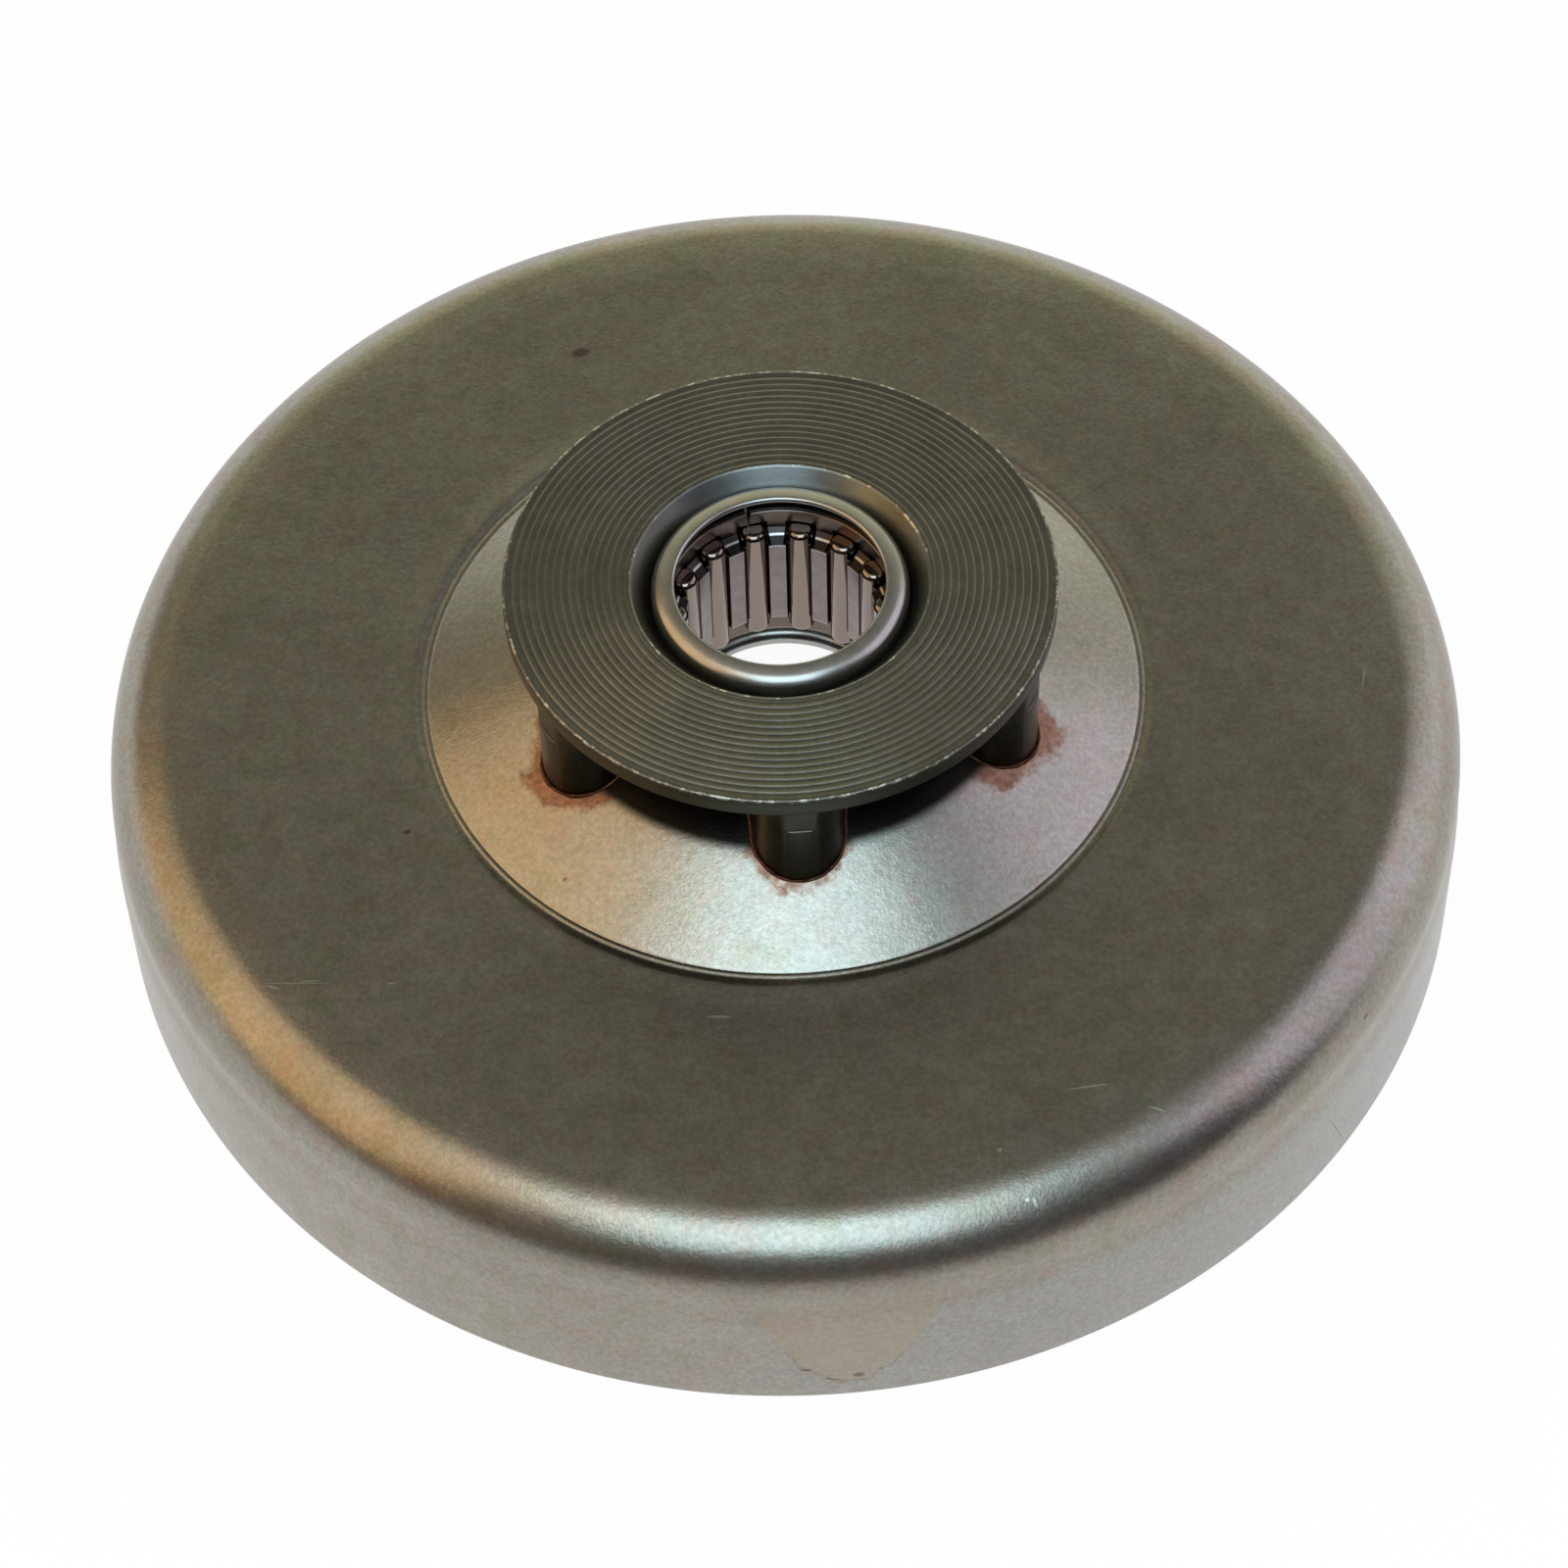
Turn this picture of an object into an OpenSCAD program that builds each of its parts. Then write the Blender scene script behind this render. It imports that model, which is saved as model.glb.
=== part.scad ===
// Clutch drum with a six-tooth spur sprocket and a drawn-cup needle bearing.
// The drum stands on its open rim, with the sprocket's flange at the top.
// The origin is on the drum's axis, in the plane of the open rim.

/* [Drum] */
// Inside diameter of the bored track that the clutch shoes rub on
track_d = 72; // [71:0.1:76]
// How much deeper the track is bored than the drawn wall
track_cut = 0.2; // [0.1:0.05:0.4]
// How far the track runs up into the rounded inner corner
track_run = 0.2; // [0.1:0.05:0.4]
// Height from the open rim to the flat ring of the face
drum_h = 13.3; // [12.8:0.1:14.5]
// Thickness of the sheet
sheet = 1.8; // [1.5:0.1:2]
// Outside radius of the shoulder between the wall and the face
shoulder_r = 3.9; // [3:0.1:4.5]
// Inside radius of the same shoulder
corner_r = 2.7; // [2.5:0.1:3]
// Height of the lower band, which stands proud of the wall
band_h = 7.8; // [6:0.1:8.5]
// How far the lower band stands proud
band_out = 0.15; // [0.05:0.05:0.3]
// Chamfer on the inner edge of the open rim
rim_chamfer = 0.4; // [0.2:0.1:0.6]
// Chamfer on the outer edge of the open rim
rim_break = 0.25; // [0.1:0.05:0.4]

/* [Cone] */
// Diameter of the foot of the raised cone in the drum's face
cone_d = 39.4; // [38:0.1:42]
// Slope of the cone, measured from the flat of the face
cone_slope = 24.5; // [20:0.5:27]
// Width of the ring groove pressed in just outside the cone's foot
crease_w = 0.5; // [0.3:0.1:0.8]
// Depth of that groove
crease_depth = 0.12; // [0.05:0.01:0.2]
// Gap, filled with braze, between a tooth and the hole it passes through
tooth_gap = 0.05; // [0.02:0.01:0.1]

/* [Sprocket] */
// Number of teeth
teeth = 6; // [5:1:7]
// Diameter over the tips of the teeth as formed
tip_d = 30.24; // [30.1:0.02:30.4]
// Width of a tooth, whose tip is a full round
tooth_w = 4.9; // [4.5:0.1:5.2]
// Diameter at the bottom of the gaps between the teeth
root_d = 19.2; // [18.6:0.1:20]
// Turn of the sprocket about its axis, away from a tooth pointing to the front
tooth_turn = 2.6; // [-30:0.1:30]
// Diameter of the flange that closes the teeth at the top
flange_d = 30; // [29.6:0.1:30]
// Thickness of the flange
flange_t = 1.2; // [1:0.1:1.4]
// Height of the flange's face above the open rim
flange_z = 22.2; // [22:0.1:23]
// Length of tooth below the flange that is turned to the flange's diameter
turned_l = 1.5; // [0.8:0.1:2]
// Chamfer at the top of the bore
bore_chamfer = 1.1; // [0.8:0.1:1.2]
// Diameter of the collar that seats under the cone, inside the drum
collar_d = 32.4; // [32:0.1:34]
// Height of the collar's underside above the open rim
collar_z = 11; // [10.6:0.1:11.4]
// Diameter of the hub below the collar
hub_d = 20; // [18:0.5:24]
// Height of the hub's end above the open rim
hub_z = 8.9; // [8.8:0.1:9]
// Leg of the braze fillet between the collar and the drum
braze_leg = 0.9; // [0.5:0.1:1.2]

/* [Needle bearing cup] */
// Outside diameter of the cup, which is the bore of the sprocket
cup_d = 14; // [13.8:0.1:14.2]
// Length of the cup
cup_l = 13; // [12.9:0.1:13]
// Depth of the cup's top below the flange's face
cup_sink = 0.1; // [0:0.05:0.3]
// Wall thickness of the cup
cup_wall = 0.46; // [0.42:0.01:0.5]
// Outside radius of the rolled-in lips
lip_r = 0.9; // [0.7:0.1:1]
// How far the lips reach inwards from the outside of the cup
lip_reach = 1.15; // [1:0.05:1.3]

/* [Needle rollers and cage] */
// Number of rollers
rollers = 14; // [12:1:14]
// Diameter of a roller
roller_d = 1.5; // [1.4:0.05:1.6]
// Length of a roller over its domed ends
roller_l = 8.3; // [7.8:0.1:8.4]
// Height of the dome on each end of a roller
roller_dome = 0.3; // [0.1:0.05:0.4]
// Gap between a roller and the cup it runs in
roller_gap = 0.02; // [0.01:0.01:0.04]
// Turn of the cage and its rollers about their axis
cage_turn = 1; // [0:0.1:30]
// Length of the cage
cage_l = 10.2; // [9.8:0.1:10.6]
// Gap between the cage's end rings and the cup
cage_gap = 0.14; // [0.1:0.01:0.2]
// Thickness of the cage's strip
strip = 0.33; // [0.25:0.01:0.33]
// How far the middle of a bar is stepped in from the end rings
bar_step = 0.85; // [0.8:0.01:0.9]
// Length of the stepped-in middle of a bar
bar_l = 6.2; // [5.6:0.1:6.6]
// Length of the slope at each end of that middle
bar_slope = 0.65; // [0.4:0.05:0.7]
// Play between a roller and the bar on each side of it, as an angle
pocket_play = 0.05; // [0.02:0.01:0.3]
// How much wider a pocket is at its ends, on each side, as an angle
pocket_flare = 0.5; // [0.2:0.1:0.8]
// Gap between the end of a roller and its pocket
pocket_gap = 0.1; // [0.05:0.05:0.2]
// Width of the butt joint where the cage's strip meets itself
seam_w = 0.14; // [0.1:0.02:0.2]

/* [Hidden] */
$fn = 180;

track_r = track_d / 2;
drum_r = track_r - track_cut + sheet;
track_h = drum_h - sheet - corner_r + track_run;
cone_r = cone_d / 2;

// The circle that rounds each tooth runs on into the one that hollows each gap. They
// all but touch on the line between their centres, and cross there by a hair, so the
// outline of the sprocket has no corner that can be seen.
tip_r = tooth_w / 2;
tip_at = tip_d / 2 - tip_r;
root_r = root_d / 2;
half_pitch = 180 / teeth;
crossing = 0.006;
touch_r = tip_r - crossing;
gap_r = (pow(tip_at, 2) + pow(root_r, 2) - 2 * tip_at * root_r * cos(half_pitch) - pow(touch_r, 2))
    / (2 * (touch_r + tip_at * cos(half_pitch) - root_r));
gap_at = root_r + gap_r;
// The cone runs in under the teeth to this radius before the hole is cut in it.
inner_r = root_r - 1;
first_tooth = tooth_turn - 90;

flange_under = flange_z - flange_t;
collar_r = collar_d / 2;
bore_r = cup_d / 2;

cup_top = flange_z - cup_sink;
race_r = bore_r - cup_wall;
mouth_r = bore_r - lip_reach;
bearing_mid = cup_top - cup_l / 2;
roller_r = roller_d / 2;
roller_at = race_r - roller_gap - roller_r;
roller_step = 360 / rollers;
dome_r = (pow(roller_r, 2) + pow(roller_dome, 2)) / (2 * roller_dome);
pocket_l = roller_l + 2 * pocket_gap;
ring_out = race_r - cage_gap;
bar_out = ring_out - bar_step;
pocket_half = asin(roller_r / roller_at) + pocket_play;
pocket_end_half = pocket_half + pocket_flare;
eps = 0.01;

drum_color = "#8a8578";
sprocket_color = "#4a483f";
braze_color = "#8d5a44";
cup_color = "#a9a6a6";
cage_color = "#7c7776";
roller_color = "#b5b1ae";

// Two digits keep the rollers' names in order.
function roller_name(i) = str("needle_roller_", i < 10 ? "0" : "", i);

// Height of the cone's outer face, and of its underside, at radius r
function cone_top(r) = drum_h + (cone_r - r) * tan(cone_slope);
function cone_under(r) = cone_top(r) - sheet / cos(cone_slope);

// A point at radius r and angle a
function polar(r, a) = [r * cos(a), r * sin(a)];

// Half section of a round cup's outline, open end on the X axis
module cup_half(r, h, corner) {
    square([r - corner, h]);
    square([r, h - corner]);
    translate([r - corner, h - corner]) circle(corner);
}

// Half section of the drum: wall, shoulder, flat ring and cone
module drum_section() {
    difference() {
        union() {
            cup_half(drum_r, drum_h, shoulder_r);
            polygon([
                [drum_r - sheet, 0],
                [drum_r + band_out, 0],
                [drum_r + band_out, band_h - band_out],
                [drum_r, band_h],
                [drum_r - sheet, band_h]
            ]);
        }
        translate([0, -eps]) cup_half(drum_r - sheet, drum_h - sheet + eps, corner_r);
        translate([0, -eps]) square([track_r, track_h + eps]);
        square([cone_r, drum_h + eps]);
        polygon([
            [cone_r + eps, drum_h + eps],
            [cone_r + crease_w / 2, drum_h - crease_depth],
            [cone_r + crease_w, drum_h + eps]
        ]);
        polygon([
            [track_r - eps, -eps],
            [track_r + rim_chamfer + eps, -eps],
            [track_r - eps, rim_chamfer + eps]
        ]);
        polygon([
            [drum_r + band_out + eps, -eps],
            [drum_r + band_out - rim_break - eps, -eps],
            [drum_r + band_out + eps, rim_break + eps]
        ]);
    }
    polygon([
        [cone_r, drum_h],
        [inner_r, cone_top(inner_r)],
        [inner_r, cone_under(inner_r)],
        [cone_r - sheet * tan(cone_slope / 2), drum_h - sheet],
        [cone_r, drum_h - sheet]
    ]);
}

// Outline of the toothed column, grown by gap all round
module tooth_outline(gap = 0) {
    difference() {
        polygon([
            for (i = [0:2 * teeth - 1])
                polar(i % 2 == 0 ? tip_at : gap_at, first_tooth + i * half_pitch)
        ]);
        for (i = [0:teeth - 1])
            rotate(first_tooth + (2 * i + 1) * half_pitch)
                translate([gap_at, 0]) circle(gap_r - gap);
    }
    for (i = [0:teeth - 1])
        rotate(first_tooth + 2 * i * half_pitch)
            translate([tip_at, 0]) circle(tip_r + gap);
}

// Drawn steel cup, with a hole in the shape of the sprocket through its cone
module drum_cup() {
    color(drum_color)
        difference() {
            rotate_extrude() drum_section();
            translate([0, 0, drum_h - sheet])
                linear_extrude(flange_z) tooth_outline(tooth_gap);
        }
}

// One piece: flange, six teeth, and the collar and hub inside the drum
module sprocket() {
    column_z = collar_z + eps;
    turned_z = flange_under - turned_l;
    color(sprocket_color)
        difference() {
            union() {
                translate([0, 0, column_z])
                    linear_extrude(turned_z - column_z) tooth_outline();
                translate([0, 0, turned_z])
                    linear_extrude(turned_l)
                        intersection() {
                            tooth_outline();
                            circle(flange_d / 2);
                        }
                translate([0, 0, flange_under]) cylinder(h = flange_t, d = flange_d);
                rotate_extrude()
                    polygon([
                        [0, hub_z],
                        [hub_d / 2, hub_z],
                        [hub_d / 2, collar_z],
                        [collar_r, collar_z],
                        [collar_r, cone_under(collar_r)],
                        [inner_r, cone_under(inner_r)],
                        [0, cone_under(inner_r)]
                    ]);
            }
            translate([0, 0, hub_z - 1]) cylinder(h = flange_z - hub_z + 2, r = bore_r);
            translate([0, 0, flange_z - bore_chamfer])
                cylinder(h = bore_chamfer + eps, r1 = bore_r, r2 = bore_r + bore_chamfer + eps);
        }
}

// Copper that has run into the corner between the collar and the drum
module braze_fillet() {
    foot_r = collar_r + braze_leg * cos(cone_slope);
    color(braze_color)
        rotate_extrude()
            polygon([
                [collar_r, cone_under(collar_r)],
                [collar_r, cone_under(collar_r) - braze_leg],
                [foot_r, cone_under(foot_r)]
            ]);
}

// Half section of the bearing cup's outline, rounded at both ends
module lip_half(r, l, corner) {
    translate([0, -l / 2]) square([r - corner, l]);
    translate([0, corner - l / 2]) square([r, l - 2 * corner]);
    for (side = [-1, 1])
        translate([r - corner, side * (l / 2 - corner)]) circle(corner);
}

// Thin drawn cup, with both ends rolled in over the cage
module bearing_cup() {
    color(cup_color)
        translate([0, 0, bearing_mid])
            rotate_extrude()
                difference() {
                    lip_half(bore_r, cup_l, lip_r);
                    lip_half(race_r, cup_l - 2 * cup_wall, lip_r - cup_wall);
                    translate([0, -cup_l / 2 - 1]) square([mouth_r, cup_l + 2]);
                }
}

// A wedge from the axis outwards, whose sides lie in radial planes
module wedge(half_angle, l) {
    linear_extrude(l, center = true)
        polygon([[0, 0], polar(cup_d, -half_angle), polar(cup_d, half_angle)]);
}

// Pressed steel cage: two end rings, and bars stepped in to hold the rollers
module bearing_cage() {
    bend = bar_l / 2 + bar_slope;
    color(cage_color)
        translate([0, 0, bearing_mid])
            difference() {
                rotate_extrude()
                    polygon([
                        [ring_out, cage_l / 2],
                        [ring_out - strip, cage_l / 2],
                        [ring_out - strip, bend],
                        [bar_out - strip, bar_l / 2],
                        [bar_out - strip, -bar_l / 2],
                        [ring_out - strip, -bend],
                        [ring_out - strip, -cage_l / 2],
                        [ring_out, -cage_l / 2],
                        [ring_out, -bend],
                        [bar_out, -bar_l / 2],
                        [bar_out, bar_l / 2],
                        [ring_out, bend]
                    ]);
                for (i = [0:rollers - 1])
                    rotate(cage_turn + i * roller_step) {
                        wedge(pocket_half, bar_l + 2 * eps);
                        for (side = [-1, 1])
                            translate([0, 0, side * (pocket_l + bar_l) / 4])
                                wedge(pocket_end_half, (pocket_l - bar_l) / 2);
                    }
                rotate(cage_turn + 4 * roller_step)
                    translate([0, -seam_w / 2, -cage_l])
                        cube([cup_d, seam_w, 2 * cage_l]);
            }
}

// Half section of a roller's domed end
module roller_end() {
    intersection() {
        translate([0, roller_l / 2 - roller_dome]) square([roller_r, roller_dome]);
        translate([0, roller_l / 2 - dome_r]) circle(dome_r);
    }
}

// One needle roller, in pocket number i of the cage
module needle_roller(i) {
    color(roller_color)
        rotate(cage_turn + (i - 1) * roller_step)
            translate([roller_at, 0, bearing_mid])
                rotate_extrude() {
                    translate([0, roller_dome - roller_l / 2])
                        square([roller_r, roller_l - 2 * roller_dome]);
                    roller_end();
                    mirror([0, 1]) roller_end();
                }
}

drum_cup();
sprocket();
braze_fillet();
bearing_cup();
bearing_cage();
for (i = [1:rollers])
    needle_roller(i);
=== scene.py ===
"""Looks of a clutch drum sprocket.

A drawn steel drum stands on its open rim. A toothed sprocket is brazed through its raised
cone, and a drawn-cup needle bearing with caged rollers is pressed into the sprocket's bore.
Sizes in the code are in millimetres, and the properties in the sidebar are in metres.
"""

import math
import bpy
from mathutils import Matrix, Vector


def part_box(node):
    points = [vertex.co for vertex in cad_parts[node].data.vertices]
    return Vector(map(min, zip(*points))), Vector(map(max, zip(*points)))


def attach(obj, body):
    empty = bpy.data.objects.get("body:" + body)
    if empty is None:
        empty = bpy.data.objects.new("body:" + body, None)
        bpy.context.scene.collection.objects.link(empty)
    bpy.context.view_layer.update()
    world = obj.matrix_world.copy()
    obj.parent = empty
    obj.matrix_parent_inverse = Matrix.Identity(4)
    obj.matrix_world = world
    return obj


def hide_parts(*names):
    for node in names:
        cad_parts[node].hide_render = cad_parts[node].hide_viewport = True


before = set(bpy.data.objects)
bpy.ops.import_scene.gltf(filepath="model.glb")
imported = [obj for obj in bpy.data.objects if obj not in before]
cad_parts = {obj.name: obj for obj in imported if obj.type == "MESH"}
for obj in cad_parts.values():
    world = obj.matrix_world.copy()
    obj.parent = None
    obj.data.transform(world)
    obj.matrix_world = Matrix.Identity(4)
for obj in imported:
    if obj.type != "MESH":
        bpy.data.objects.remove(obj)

from types import SimpleNamespace

import bpy
from mathutils import Matrix, Vector

bl_info = {
    "name": "Clutch Drum Sprocket",
    "version": (1, 0, 0),
    "blender": (4, 5, 0),
    "location": "View3D > Sidebar > Clutch Drum",
    "description": "Models a clutch drum with its sprocket and needle bearing, and lights it",
    "category": "Add Mesh",
}

MM = 0.001
WELD = 0.002 * MM
SMOOTH_ANGLE = math.radians(30)
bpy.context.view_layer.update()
DRUM_LOW, DRUM_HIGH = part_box("drum_cup")
SPROCKET_LOW, SPROCKET_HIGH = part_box("sprocket")
CUP_LOW, CUP_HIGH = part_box("bearing_cup")
CAGE_LOW, CAGE_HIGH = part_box("bearing_cage")
# Marks of handling: middle in millimetres, turn in degrees, length and width in millimetres.
FACE_SPOTS = (((-11.2, 24.8), 10, (1.4, 0.9)), ((-20.6, -9.6), 30, (0.5, 0.4)), ((-12.0, -13.6), 30, (0.35, 0.25)))
FACE_SCRATCHES = (
    ((-3.9, -22.3), -4, (1.7, 0.2)),
    ((15.2, -27.4), 7, (3.2, 0.12)),
    ((18.6, -28.8), -16, (1.2, 0.13)),
    ((10.4, -31.1), 20, (0.35, 0.25)),
    ((12.1, -33.9), -60, (0.6, 0.25)),
    ((11.7, -33.8), 10, (0.3, 0.2)),
    ((-27.5, -19.5), -21, (1.0, 0.13)),
    ((-26.3, -19.3), -3, (4.2, 0.07)),
    ((-25.5, -19.2), -2, (1.3, 0.1)),
    ((-21.2, -19.5), 0, (0.7, 0.1)),
    ((32.0, -1.1), 80, (2.0, 0.1)),
)
STAIN_AT = math.radians(-86.4) * DRUM_HIGH.x / MM
WALL_SPOTS = (
    ((STAIN_AT + 0.5, 2.1), 0, (0.8, 0.6)),
    ((STAIN_AT - 2.3, 2.9), 0, (0.8, 0.3)),
    ((STAIN_AT - 0.8, 1.8), -16, (1.5, 0.2)),
    ((-26.0, 3.2), -67, (5.9, 0.1)),
    ((-23.5, 10.7), 0, (0.6, 0.25)),
    ((-29.8, 0.9), 0, (0.4, 0.35)),
)
ROLLERS = sorted(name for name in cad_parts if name.startswith("needle_roller"))


def size(name, default, description):
    """A length that the user can change, given in millimetres."""
    return bpy.props.FloatProperty(
        name=name, default=default * MM, description=description, unit="LENGTH", precision=5
    )


def tint(name, default, description):
    """A colour that the user can change, given as an sRGB hex value."""
    return bpy.props.FloatVectorProperty(
        name=name, default=linear(default), description=description, subtype="COLOR", size=3, min=0, max=1
    )


def linear(hex_colour):
    """Linear colour of an sRGB hex value such as #8d867a."""
    channels = [int(hex_colour[i : i + 2], 16) / 255 for i in (1, 3, 5)]
    return tuple(c / 12.92 if c <= 0.04045 else ((c + 0.055) / 1.055) ** 2.4 for c in channels)


class DrumSizes(bpy.types.PropertyGroup):
    """Sizes of the drawn drum."""

    band_radius: size("Band radius", DRUM_HIGH.x / MM, "Outside radius of the band round the open rim")
    band_proud: size("Band proud", 0.15, "How far the band stands out from the wall above it")
    band_height: size("Band height", 7.8, "Height of the band above the open rim")
    height: size("Height", 13.3, "Height of the flat ring of the face above the open rim")
    sheet: size("Sheet", 1.8, "Thickness of the sheet")
    shoulder: size("Shoulder", 3.85, "Outside radius of the shoulder between wall and face")
    corner: size("Corner", 2.7, "Inside radius of the same shoulder")
    track_radius: size("Track radius", 36.0, "Radius of the track that the clutch shoes rub on")
    track_height: size("Track height", 9.0, "Height of the top of that track above the open rim")
    cone_foot: size("Cone foot", 19.7, "Radius of the foot of the raised cone")
    cone_rise: size("Cone rise", 0.4557, "Rise of the cone for each millimetre towards the axis")


class SprocketSizes(bpy.types.PropertyGroup):
    """Sizes of the sprocket and of its teeth."""

    flange_radius: size("Flange radius", 15.0, "Radius of the flange that closes the teeth")
    flange_top: size("Flange top", SPROCKET_HIGH.z / MM, "Height of the flange's face above the open rim")
    flange_thickness: size("Flange thickness", 1.2, "Thickness of the flange")
    bore: size("Bore", 7.0, "Radius of the bore that holds the bearing cup")
    chamfer: size("Chamfer", 1.1, "Width of the chamfer at the top of the bore")
    groove_pitch: size("Groove pitch", 0.433, "Feed of the turning tool that left the face's grooves")
    tip_radius: size("Tip radius", 2.45, "Radius of the round tip of a tooth")
    tip_reach: size("Tip reach", 12.67, "Distance of a tip's centre from the axis")
    root_radius: size("Root radius", 9.6, "Radius at the bottom of the gaps between the teeth")
    ledge: size("Ledge", 19.58, "Height of the ledge where the tips were turned with the flange")
    collar_radius: size("Collar radius", 16.2, "Radius of the collar inside the drum")
    collar_bottom: size("Collar bottom", 11.0, "Height of the collar's underside")
    hub_radius: size("Hub radius", 10.0, "Radius of the hub below the collar")
    hub_bottom: size("Hub bottom", SPROCKET_LOW.z / MM, "Height of the hub's end")
    teeth: bpy.props.IntProperty(name="Teeth", default=6, min=5, max=7, description="Number of teeth")
    turn: bpy.props.FloatProperty(
        name="Turn", default=math.radians(-87.4), description="Angle of the first tooth", subtype="ANGLE"
    )


class BearingSizes(bpy.types.PropertyGroup):
    """Sizes of the needle bearing."""

    cup_radius: size("Cup radius", CUP_HIGH.x / MM, "Outside radius of the drawn cup")
    cup_top: size("Cup top", CUP_HIGH.z / MM, "Height of the top of the cup")
    cup_bottom: size("Cup bottom", CUP_LOW.z / MM, "Height of the bottom of the cup")
    cup_wall: size("Cup wall", 0.46, "Wall thickness of the cup")
    mouth: size("Mouth", 5.7, "Radius of the mouth that the cup's upper lip leaves")
    lower_mouth: size("Lower mouth", 5.95, "Radius of the mouth at the cup's lower end")
    lip: size("Lip", 0.36, "Thickness of the rolled upper lip")
    cup_corner: size("Cup corner", 0.76, "Outside radius of the cup's upper corner")
    cage_radius: size("Cage radius", CAGE_HIGH.x / MM, "Outside radius of the cage's end rings")
    cage_top: size("Cage top", CAGE_HIGH.z / MM, "Height of the top of the cage")
    strip: size("Strip", 0.33, "Thickness of the cage's strip")
    bar_step: size("Bar step", 0.85, "How far the middle of a bar is stepped inwards")
    bar_length: size("Bar length", 6.2, "Length of the stepped middle of a bar")
    bar_slope: size("Bar slope", 0.65, "Length of the slope at each end of that middle")
    roller_radius: size("Roller radius", 0.75, "Radius of a roller")
    roller_length: size("Roller length", 8.3, "Length of a roller over its domed ends")
    roller_dome: size("Roller dome", 0.3, "Height of the dome on each end of a roller")
    roller_reach: size("Roller reach", 5.77, "Distance of a roller's axis from the bearing's axis")
    turn: bpy.props.FloatProperty(
        name="Turn", default=math.radians(1), description="Angle of the first roller", subtype="ANGLE"
    )


class FinishColours(bpy.types.PropertyGroup):
    """Colours of the metals and of the floor."""

    drum: tint("Drum", "#97938a", "Drawn sheet steel with an olive tarnish")
    sprocket: tint("Sprocket", "#75736c", "Turned sprocket steel, browned by the brazing furnace")
    braze: tint("Braze", "#8a5f4c", "Copper braze")
    cup: tint("Cup", "#a3a09c", "Bright drawn steel of the bearing cup")
    cage: tint("Cage", "#837977", "Pressed strip of the cage")
    roller: tint("Roller", "#887b74", "Ground bearing steel")
    floor: tint("Floor", "#f4f4f2", "Pale floor")


class StageSizes(bpy.types.PropertyGroup):
    """Camera and floor."""

    target_x: size("Target X", -0.122, "Point on the object that the camera looks at")
    target_z: size("Target Z", 3.825, "Height of that point")
    distance: size("Distance", 279.2, "Distance of the camera from that point")
    floor_radius: size("Floor radius", 1200, "Radius of the floor")
    elevation: bpy.props.FloatProperty(
        name="Elevation", default=math.radians(53.05), description="Camera elevation", subtype="ANGLE"
    )
    roll: bpy.props.FloatProperty(
        name="Roll", default=math.radians(-1.758), description="Camera roll", subtype="ANGLE"
    )
    lens: bpy.props.FloatProperty(name="Lens", default=112.765, description="Focal length in millimetres")


def millimetres(group):
    """The sizes of a property group in millimetres, under the same names."""
    lengths = {
        name: getattr(group, name) / MM
        for name, prop in group.bl_rna.properties.items()
        if getattr(prop, "unit", "NONE") == "LENGTH"
    }
    return SimpleNamespace(**lengths)


def polar(radius, angle):
    """The point at that radius and angle."""
    return Vector((radius * math.cos(angle), radius * math.sin(angle)))


def select_only(piece):
    """Make this piece the only selected and the active one."""
    bpy.ops.object.select_all(action="DESELECT")
    piece.select_set(True)
    bpy.context.view_layer.objects.active = piece


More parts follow.
